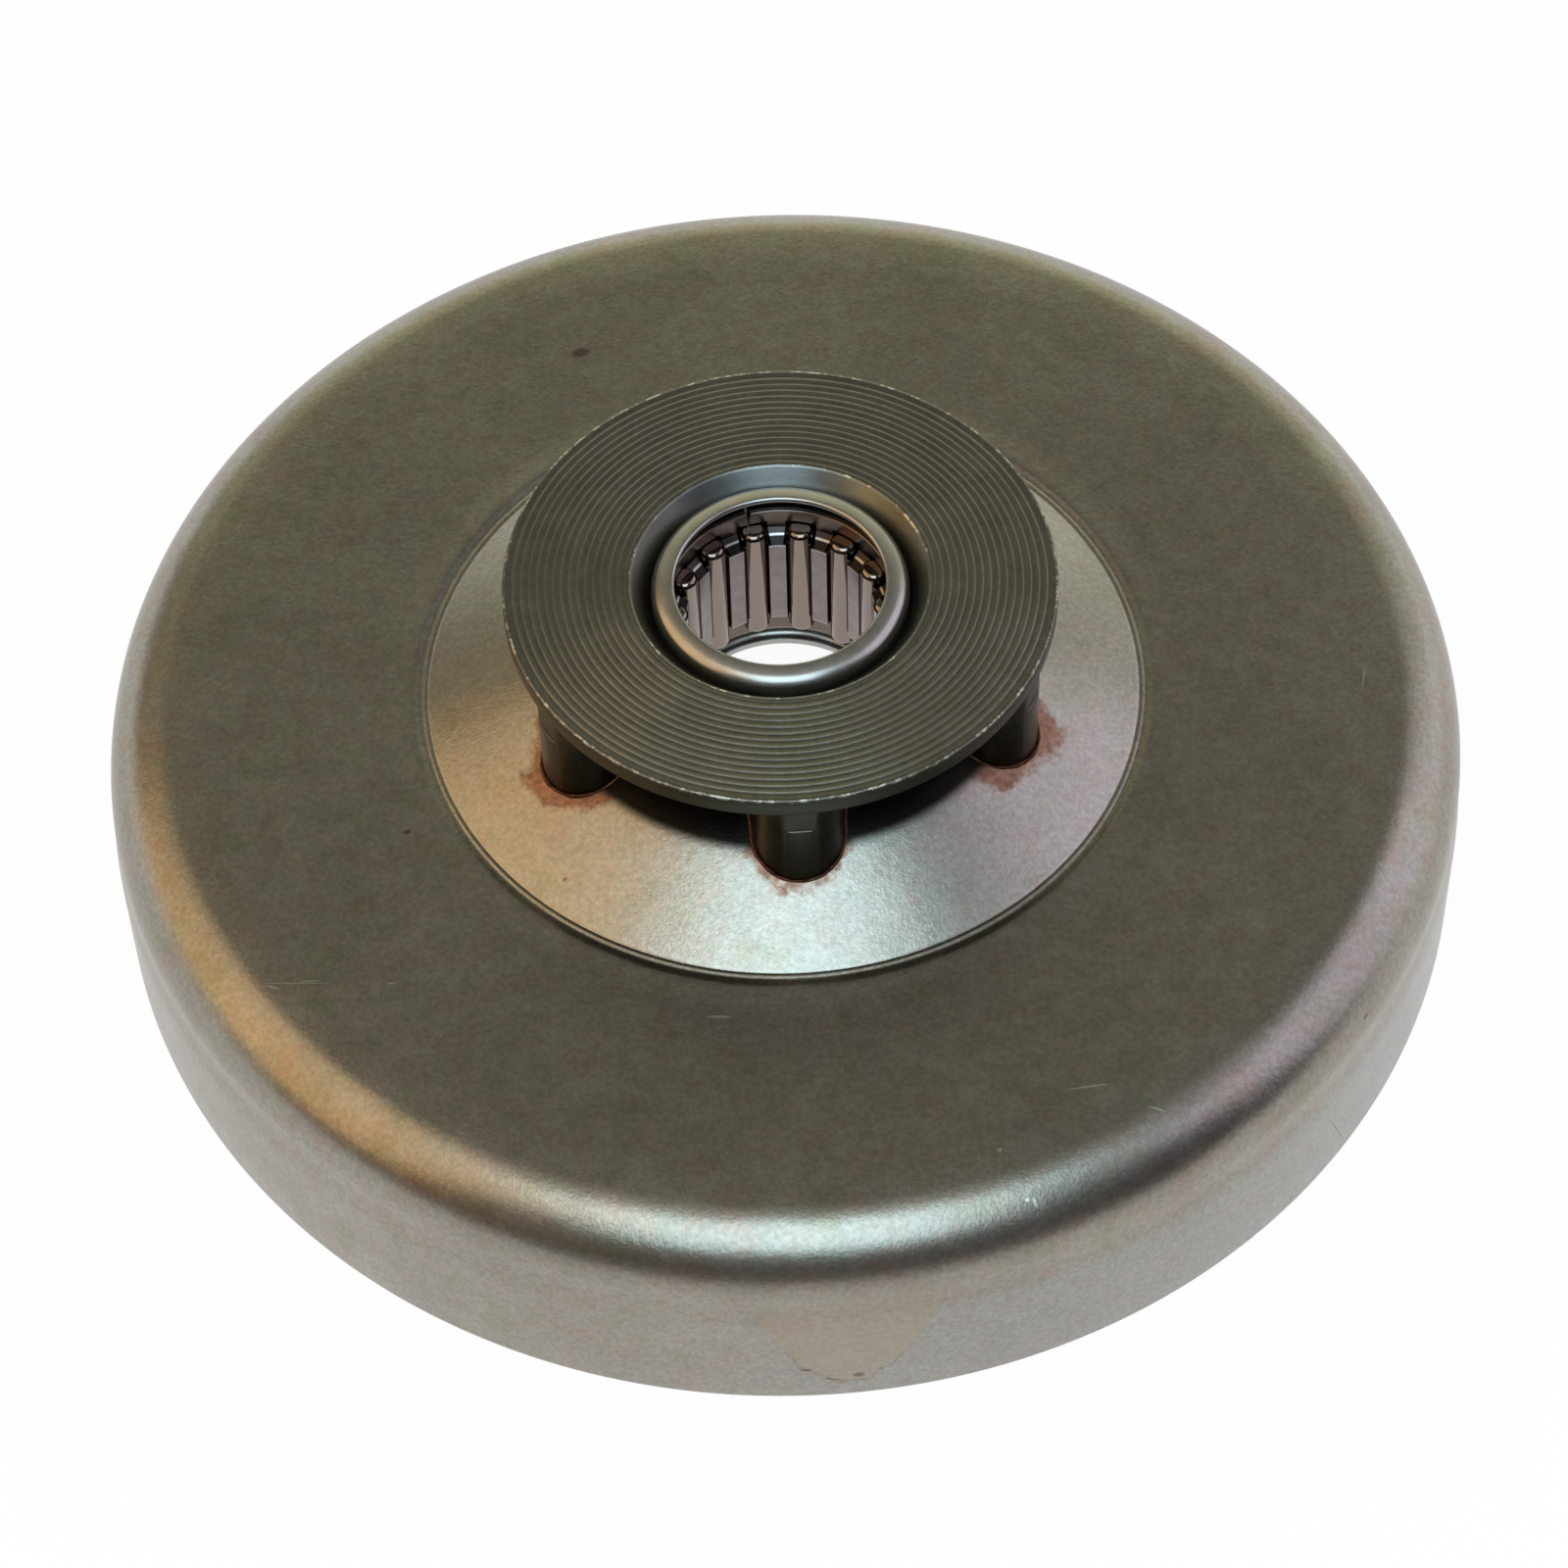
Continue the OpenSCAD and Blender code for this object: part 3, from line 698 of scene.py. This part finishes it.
class DrumOperator(bpy.types.Operator):
    """Model the drawn drum, with its cone and the hole for the sprocket."""

    bl_idname = "clutchdrum.drum"
    bl_label = "Drum"

    def execute(self, context):
        drum = millimetres(context.scene.drum_sizes)
        sprocket = millimetres(context.scene.sprocket_sizes)
        shell = self.draw_section(drum).lathe(360)
        setup = context.scene.sprocket_sizes
        hole = tooth_outline("hole", sprocket, setup.teeth, setup.turn, 0.05)
        combine(shell, hole.prism(drum.height - drum.sheet, sprocket.flange_top), "DIFFERENCE")
        roughen(shell, 11, 0.03)
        self.mark_reach(shell, sprocket, setup)
        deliver(shell, drum_steel(context.scene.finish_colours), "drum_steel", "drum", "drum_cup")
        return {"FINISHED"}

    def draw_section(self, drum):
        """Half section of the drum, from the open rim up the outside and back down the inside."""
        band, top, foot = drum.band_radius, drum.height, drum.cone_foot
        wall = band - drum.band_proud
        centre = wall - drum.shoulder
        spring = top - drum.shoulder - 0.072
        pen = Pen("drum_shell", (drum.track_radius, 0.4))
        pen.line((drum.track_radius + 0.4, 0.02), (band - 0.3, 0.02)).arc((band - 0.3, 0.32), 90, 5)
        pen.line((band, 2.6), (band, 5.2), (band, drum.band_height - 1.2))
        for share in (0.15, 0.3, 0.45, 0.6, 0.75, 0.9, 1):
            eased = share * share * (3 - 2 * share)
            pen.line((band - drum.band_proud * eased, drum.band_height - 1.2 + 2.4 * share))
        pen.line((wall, 9.2), (wall, spring))
        pen.arc((centre, spring), 86.8, 40)
        blend_centre = pen.at - polar(50, math.radians(86.8))
        pen.arc(blend_centre, 3.2, 8)
        flat = pen.at.y
        for r in (30.6, 29, 27.4, 26, 24.5, 23.2, 22.3):
            pen.line((r, flat))
        pen.line((21.8, flat + 0.006), (21.3, flat + 0.026), (20.9, flat + 0.048), (20.6, flat + 0.062))
        pen.line((20.44, flat + 0.056))
        crease = (
            (20.34, 0.061), (20.28, 0.033), (20.19, -0.012), (20.10, -0.052), (20.04, -0.067), (19.99, -0.062),
            (19.94, -0.032), (19.88, 0.008), (19.83, 0.028), (19.78, 0.031), (19.74, 0.018), (19.70, -0.005),
            (19.66, -0.012),
        )
        for r, rise in crease:
            pen.line((r, flat + 0.5 * rise))
        for r in (19.6, 19.5, 19.2, 18.8, 18.4, 18, 17.6, 17.2, 16.8, 16.4, 16, 15.6, 15.2, 14.8, 14.4, 14, 13.6,
                  13.2, 12.8, 12.2, 11.6, 11, 10.4, 9.8, 9.2, 8.6):
            pen.line((r, cone_top(drum, r)))
        under = drum.sheet * math.sqrt(1 + drum.cone_rise**2)
        pen.line((8.6, cone_top(drum, 8.6) - under), (19.29, cone_top(drum, 19.29) - under))
        inner = drum.track_radius - 0.2 - drum.corner
        pen.line((24, top - drum.sheet), (inner, top - drum.sheet))
        pen.arc((inner, top - drum.sheet - drum.corner), -85.5, 16)
        pen.line((drum.track_radius, drum.track_height), (drum.track_radius, 0.4))
        return pen

    def mark_reach(self, shell, sprocket, setup):
        """Store each point's distance from the toothed column, in millimetres."""
        pitch = math.tau / setup.teeth
        reach = shell.data.attributes.new("braze_reach", "FLOAT", "POINT")
        root, tip_r, tip_at = sprocket.root_radius, sprocket.tip_radius, sprocket.tip_reach
        gap_r = gap_radius(sprocket, pitch)
        gap_at = root + gap_r
        for vertex in shell.data.vertices:
            place = Vector(vertex.co.xy) / MM
            angle = (math.atan2(place.y, place.x) - setup.turn) % pitch
            angle = min(angle, pitch - angle)
            here = polar(place.length, angle)
            away = (here - Vector((tip_at, 0))).length - tip_r
            if place.length < gap_at:
                away = min(away, abs(gap_r - (here - polar(gap_at, pitch / 2)).length))
            reach.data[vertex.index].value = min(away, 20)


class SprocketOperator(bpy.types.Operator):
    """Model the sprocket: turned flange, toothed column, collar and hub."""

    bl_idname = "clutchdrum.sprocket"
    bl_label = "Sprocket"

    def execute(self, context):
        sizes = millimetres(context.scene.sprocket_sizes)
        drum = millimetres(context.scene.drum_sizes)
        setup = context.scene.sprocket_sizes
        under = sizes.flange_top - sizes.flange_thickness
        outline = tooth_outline("column", sizes, setup.teeth, setup.turn)
        column = outline.prism(sizes.collar_bottom + 0.01, under + 0.05)
        core = Pen("core", (0, 0)).line((8, 0), (8, 30), (0, 30)).lathe(128)
        combine(column, core, "DIFFERENCE")
        ring = Pen("ledge_cutter", (18, sizes.ledge)).line((18, 24), (sizes.flange_radius, 24))
        ring.line((sizes.flange_radius, sizes.ledge + 0.1)).arc((15.1, sizes.ledge + 0.1), 90, 4)
        combine(column, ring.line((18, sizes.ledge)).lathe(256), "DIFFERENCE")
        body = self.draw_section(sizes, drum).lathe(256)
        combine(body, column, "UNION")
        body.name = "toothed_sprocket"
        deliver(body, sprocket_steel(context.scene.finish_colours), "sprocket_steel", "drum", "sprocket")
        return {"FINISHED"}

    def draw_section(self, sizes, drum):
        """Half section of all that was turned: hub, collar, neck, flange and grooved face."""
        bore, top, rim = sizes.bore, sizes.flange_top, sizes.flange_radius
        under = top - sizes.flange_thickness
        sheet = drum.sheet * math.sqrt(1 + drum.cone_rise**2)
        pen = Pen("turned_body", (bore, sizes.hub_bottom))
        pen.line((sizes.hub_radius - 0.3, sizes.hub_bottom), (sizes.hub_radius, sizes.hub_bottom + 0.3))
        pen.line((sizes.hub_radius, sizes.collar_bottom - 0.3)).arc((sizes.hub_radius + 0.3, 10.7), -90, 4)
        pen.line((sizes.collar_radius - 0.2, sizes.collar_bottom))
        pen.line((sizes.collar_radius, sizes.collar_bottom + 0.2))
        pen.line((sizes.collar_radius, cone_top(drum, sizes.collar_radius) - sheet))
        pen.line((9.3, cone_top(drum, 9.3) - sheet), (9.3, under), (12, under))
        pen.line((rim - 0.08, under), (rim, under + 0.08), (rim, under + 0.5), (rim, top - 0.1))
        pen.line((rim - 0.03, top - 0.03), (rim - 0.09, top + 0.0))
        edge = bore + sizes.chamfer
        self.draw_grooves(pen, rim - 0.2, edge + 0.12, top, sizes.groove_pitch)
        pen.arc((edge + 0.12, top - 0.26), 52, 5)
        pen.line((bore, top - 1.25 * sizes.chamfer), (bore, 16), (bore, sizes.hub_bottom))
        return pen

    def draw_grooves(self, pen, outer, inner, top, pitch):
        """Shallow grooves of the turning tool, steeper on the side that faces outwards."""
        count = round((outer - inner - 0.1) / pitch)
        pitch = (outer - inner - 0.1) / count
        for groove in range(count):
            start = outer - groove * pitch
            for step in range(1, 9):
                share = step / 8
                side = (share - 0.72) / (0.72 if share < 0.72 else 0.28)
                dip = 0.031 * (1 - side**2)
                pen.line((start - pitch * share, top - dip))
        pen.line((inner, top - 0.01))


class BrazeOperator(bpy.types.Operator):
    """Model the braze: a bead round the teeth and a fillet inside the drum."""

    bl_idname = "clutchdrum.braze"
    bl_label = "Braze"

    def execute(self, context):
        sizes = millimetres(context.scene.sprocket_sizes)
        drum = millimetres(context.scene.drum_sizes)
        setup = context.scene.sprocket_sizes
        material = copper_braze(context.scene.finish_colours)
        pen = tooth_outline("braze_bead", sizes, setup.teeth, setup.turn, 0.07)
        bead = pen.finish()
        for vertex in bead.data.vertices:
            vertex.co.z = (cone_top(drum, vertex.co.xy.length / MM) + 0.0) * MM
        select_only(bead)
        bpy.ops.object.convert(target="CURVE")
        bead = bpy.context.object
        bead.data.bevel_depth = 0.1 * MM
        bead.data.bevel_resolution = 3
        bead.data.dimensions = "3D"
        bpy.ops.object.convert(target="MESH")
        bead = bpy.context.object
        roughen(bead, 0.7, 0.14)
        deliver(bead, material, "copper_braze", "drum")
        sheet = drum.sheet * math.sqrt(1 + drum.cone_rise**2)
        corner = cone_top(drum, sizes.collar_radius) - sheet
        foot = sizes.collar_radius + 0.82
        pen = Pen("braze_fillet_ring", (sizes.collar_radius, corner)).line((sizes.collar_radius, corner - 0.9))
        pen.line((sizes.collar_radius + 0.18, corner - 0.62), (sizes.collar_radius + 0.45, corner - 0.46))
        pen.line((foot, cone_top(drum, foot) - sheet), (sizes.collar_radius, corner))
        ring = pen.lathe(192)
        deliver(ring, material, "copper_braze", "drum", "braze_fillet")
        return {"FINISHED"}


class CupOperator(bpy.types.Operator):
    """Model the bearing's drawn cup, with both ends rolled in."""

    bl_idname = "clutchdrum.cup"
    bl_label = "Bearing cup"

    def execute(self, context):
        sizes = millimetres(context.scene.bearing_sizes)
        outer, wall = sizes.cup_radius, sizes.cup_wall
        race, mouth = outer - wall, sizes.mouth
        top, bottom, lower = sizes.cup_top, sizes.cup_bottom, sizes.lower_mouth
        lip, corner = sizes.lip, sizes.cup_corner
        pen = Pen("rolled_cup", (race, bottom + 1.0)).line((race, top - lip - 0.5))
        pen.arc((race - 0.5, top - lip - 0.5), 90, 8).line((mouth + lip / 2, top - lip))
        # The lip's edge is fully round, and its top leans outwards from 4 degrees to 14.
        first, last = math.radians(4), math.radians(14)
        pen.arc((mouth + lip / 2, top - lip / 2), -184, 14)
        crown = (outer - pen.at.x - corner * (1 - math.sin(last))) / (math.sin(last) - math.sin(first))
        pen.arc(pen.at - polar(crown, math.pi / 2 - first), -10, 5)
        pen.arc(pen.at - polar(corner, math.pi / 2 - last), -76, 14)
        pen.line((outer, bottom + 0.9)).arc((outer - 0.9, bottom + 0.9), -90, 10)
        pen.line((lower + 0.12, bottom)).arc((lower + 0.12, bottom + 0.12), -90, 4)
        pen.line((lower, bottom + 0.46), (race - 0.5, bottom + 0.5)).arc((race - 0.5, bottom + 1.0), 90, 8)
        cup = pen.lathe(256)
        deliver(cup, cup_steel(context.scene.finish_colours), "cup_steel", "drum", "bearing_cup")
        return {"FINISHED"}


class CageOperator(bpy.types.Operator):
    """Model the pressed cage that keeps the rollers apart."""

    bl_idname = "clutchdrum.cage"
    bl_label = "Cage"

    def execute(self, context):
        sizes = millimetres(context.scene.bearing_sizes)
        middle = (sizes.cup_top + sizes.cup_bottom) / 2
        half = sizes.cage_top - middle
        ring, bar = sizes.cage_radius, sizes.cage_radius - sizes.bar_step
        strip, flat = sizes.strip, sizes.bar_length / 2
        bend = flat + sizes.bar_slope
        heights = (half, bend, flat, -flat, -bend, -half)
        radii = (ring, ring, bar, bar, ring, ring)
        pen = Pen("pressed_cage", (ring - strip, middle - half + 0.05))
        pen.line((ring - strip + 0.05, middle - half), (ring - 0.08, middle - half), (ring, middle - half + 0.08))
        for height, radius in zip(heights[4:0:-1], radii[4:0:-1]):
            pen.line((radius, middle + height))
        pen.line((ring, middle + half - 0.08), (ring - 0.08, middle + half), (ring - strip + 0.05, middle + half))
        pen.line((ring - strip, middle + half - 0.05))
        for height, radius in zip(heights[1:5], radii[1:5]):
            pen.line((radius - strip, middle + height))
        pen.line((ring - strip, middle - half + 0.05))
        cage = pen.lathe(504)
        count = len(ROLLERS)
        turn = context.scene.bearing_sizes.turn
        pocket_end = sizes.roller_length / 2 + 0.1
        narrow, wide = 0.71, 0.87
        across = (0, 1, 0)
        cutter = Pen("pocket_cutter", (-narrow, middle - flat), across)
        cutter.line((-wide, middle - flat - 0.05), (-wide, middle - pocket_end), (wide, middle - pocket_end))
        cutter.line((wide, middle - flat - 0.05), (narrow, middle - flat), (narrow, middle + flat))
        cutter.line((wide, middle + flat + 0.05), (wide, middle + pocket_end), (-wide, middle + pocket_end))
        cutter.line((-wide, middle + flat + 0.05), (-narrow, middle + flat), (-narrow, middle - flat))
        first = cutter.prism(4.2, 8)
        cutters = [turn_copy(first, turn + place * math.tau / count, "cutter") for place in range(count)]
        bpy.data.objects.remove(first)
        # The strip's ends meet at a pocket, a little aside of its roller, with their corners off.
        low, high = middle - half, middle + half
        joint = Pen("joint_cutter", (-0.17, low - 0.1), across).line((0.17, low - 0.1), (0.05, low + 0.3))
        joint.line((0.05, high - 0.3), (0.17, high + 0.1), (-0.17, high + 0.1), (-0.05, high - 0.3))
        joint = joint.line((-0.05, low + 0.3), (-0.17, low - 0.1)).prism(4, 9)
        cutters.append(turn_copy(joint, turn + 4 * math.tau / count + math.radians(1.6), "cutter"))
        bpy.data.objects.remove(joint)
        for piece in cutters:
            combine(cage, piece, "DIFFERENCE")
        deliver(cage, cage_steel(context.scene.finish_colours), "cage_steel", "cage", "bearing_cage")
        return {"FINISHED"}


class RollersOperator(bpy.types.Operator):
    """Model one needle roller and copy it round the cage."""

    bl_idname = "clutchdrum.rollers"
    bl_label = "Rollers"

    def execute(self, context):
        sizes = millimetres(context.scene.bearing_sizes)
        material = roller_steel(context.scene.finish_colours)
        middle = (sizes.cup_top + sizes.cup_bottom) / 2
        half, dome, radius = sizes.roller_length / 2, sizes.roller_dome, sizes.roller_radius
        at = sizes.roller_reach
        flat = radius - dome
        pen = Pen("roller", (at, middle - half)).line((at + flat, middle - half + 0.02))
        pen.arc((at + flat, middle - half + dome), 88, 12)
        pen.line((at + radius, middle - half + dome + 0.02), (at + radius, middle + half - dome - 0.02))
        pen.line((at + radius, middle + half - dome)).arc((at + flat, middle + half - dome), 88, 12)
        pen.line((at, middle + half))
        first = pen.lathe(64, (at, 0))
        turn = context.scene.bearing_sizes.turn
        for number, name in enumerate(ROLLERS):
            roller = turn_copy(first, turn + number * math.tau / len(ROLLERS), "roller_" + name[-2:])
            deliver(roller, material, "roller_steel", "roller_" + name[-2:], name)
        bpy.data.objects.remove(first)
        return {"FINISHED"}


class StageOperator(bpy.types.Operator):
    """Set the floor, the lamps, the world and the camera."""

    bl_idname = "clutchdrum.stage"
    bl_label = "Stage"

    def execute(self, context):
        scene = context.scene
        scene.view_settings.view_transform = "Standard"
        bpy.ops.object.select_all(action="DESELECT")
        radius = scene.stage_sizes.floor_radius
        bpy.ops.mesh.primitive_circle_add(vertices=96, radius=radius, fill_type="NGON")
        floor = context.object
        floor.name = "floor"
        floor.data.materials.append(floor_finish(scene.finish_colours))
        self.light_world(scene)
        self.add_lamp("key", (0.01, -0.49, 0.87), 0.62, (0.41, 0.51), (0.66, 0.88, 1.0), 3.0)
        self.add_lamp("warm_side", (-0.736, -0.04, 0.676), 0.7, (0.81, 0.8), (1.0, 0.7, 0.38), 1.02)
        self.add_lamp("cool_side", (0.81, 0.134, 0.57), 0.8, (0.75, 0.72), (0.87, 0.83, 1.0), 1.02)
        self.add_camera(scene, scene.stage_sizes)
        return {"FINISHED"}

    def add_lamp(self, name, direction, distance, shape, colour, radiance):
        """A soft rectangular lamp that faces the object and is that bright to look at."""
        toward = Vector(direction).normalized()
        turned = toward.to_track_quat("Z", "Y").to_euler()
        bpy.ops.object.light_add(type="AREA", location=toward * distance, rotation=turned)
        lamp = bpy.context.object
        lamp.name = name
        lamp.data.shape = "RECTANGLE"
        lamp.data.size, lamp.data.size_y = shape
        lamp.data.color = colour
        lamp.data.energy = radiance * 4 * shape[0] * shape[1]

    def light_world(self, scene):
        """A dim room, warm on the left, and pale low down behind the object and on its right."""
        world = bpy.data.worlds.new("studio")
        scene.world = world
        world.use_nodes = True
        tree = world.node_tree
        tree.nodes.clear()
        toward = node(tree, "SeparateXYZ", {0: node(tree, "TexCoord").outputs["Generated"]})
        x, y, z = (toward.outputs[i] for i in range(3))
        room = blend_colour(tree, ramp(tree, y, -0.8, 0.8), (0.147, 0.134, 0.134), (0.02, 0.02, 0.02))
        sides = blend_colour(tree, ramp(tree, x, -0.8, 0.8), (0.32, 0.19, 0.05), (0.02, 0.025, 0.03))
        room = blend_colour(tree, maths(tree, "MULTIPLY", x, x), room, sides)
        room = blend_colour(tree, ramp(tree, z, 0.3, 1.0), room, (0.158, 0.162, 0.14))
        room = blend_colour(tree, ramp(tree, z, 0.9, 1.0), room, (0.5, 0.5, 0.46))
        pale = blend_colour(tree, ramp(tree, x, -0.8, -0.2), (0.05, 0.05, 0.05), (1.11, 1.11, 0.72))
        pale = blend_colour(tree, ramp(tree, x, 0.2, 0.8), pale, (1.41, 1.43, 1.2))
        low_behind = maths(tree, "MULTIPLY", ramp(tree, z, 0.77, 0.58), ramp(tree, y, 0.2, 1.2))
        light = blend_colour(tree, low_behind, room, pale)
        horizon = maths(tree, "MULTIPLY", ramp(tree, z, 0.3, 0.05), ramp(tree, y, -0.3, 0.3))
        light = blend_colour(tree, horizon, light, (1.4, 1.45, 1.42))
        # The camera sees a white backdrop above the floor.
        shown = blend_colour(tree, node(tree, "LightPath").outputs["Is Camera Ray"], light, (1, 1, 1))
        node(
            tree,
            "OutputWorld",
            {"Surface": node(tree, "Background", {"Color": shown, "Strength": 1.0}).outputs[0]},
        )

    def add_camera(self, scene, stage):
        """Look at the object from the photograph's angle."""
        tilt = Matrix.Rotation(math.pi / 2 - stage.elevation, 3, "X")
        turned = tilt @ Matrix.Rotation(stage.roll, 3, "Z")
        target = Vector((stage.target_x, 0, stage.target_z))
        back = turned @ Vector((0, 0, 1))
        bpy.ops.object.camera_add(location=target + back * stage.distance, rotation=turned.to_euler())
        camera = bpy.context.object
        camera.data.lens = stage.lens
        camera.data.sensor_width = 36
        camera.data.clip_start = 0.01
        scene.camera = camera


OPERATORS = (
    StageOperator,
    DrumOperator,
    SprocketOperator,
    BrazeOperator,
    CupOperator,
    CageOperator,
    RollersOperator,
)
GROUPS = {
    "drum_sizes": DrumSizes,
    "sprocket_sizes": SprocketSizes,
    "bearing_sizes": BearingSizes,
    "finish_colours": FinishColours,
    "stage_sizes": StageSizes,
}


class ClutchDrumPanel(bpy.types.Panel):
    """The pieces of the clutch drum, in the order in which they are made."""

    bl_idname = "CLUTCHDRUM_PT_pieces"
    bl_label = "Clutch Drum"
    bl_space_type = "VIEW_3D"
    bl_region_type = "UI"
    bl_category = "Clutch Drum"

    def draw(self, context):
        for operator in OPERATORS:
            self.layout.operator(operator.bl_idname)


def register():
    for group_name, group in GROUPS.items():
        bpy.utils.register_class(group)
        setattr(bpy.types.Scene, group_name, bpy.props.PointerProperty(type=group))
    for made in (*OPERATORS, ClutchDrumPanel):
        bpy.utils.register_class(made)


def unregister():
    for made in (ClutchDrumPanel, *reversed(OPERATORS)):
        bpy.utils.unregister_class(made)
    for group_name, group in reversed(GROUPS.items()):
        delattr(bpy.types.Scene, group_name)
        bpy.utils.unregister_class(group)


def main():
    register()
    for operator in OPERATORS:
        family, name = operator.bl_idname.split(".")
        getattr(getattr(bpy.ops, family), name)()


if __name__ == "__main__":
    main()
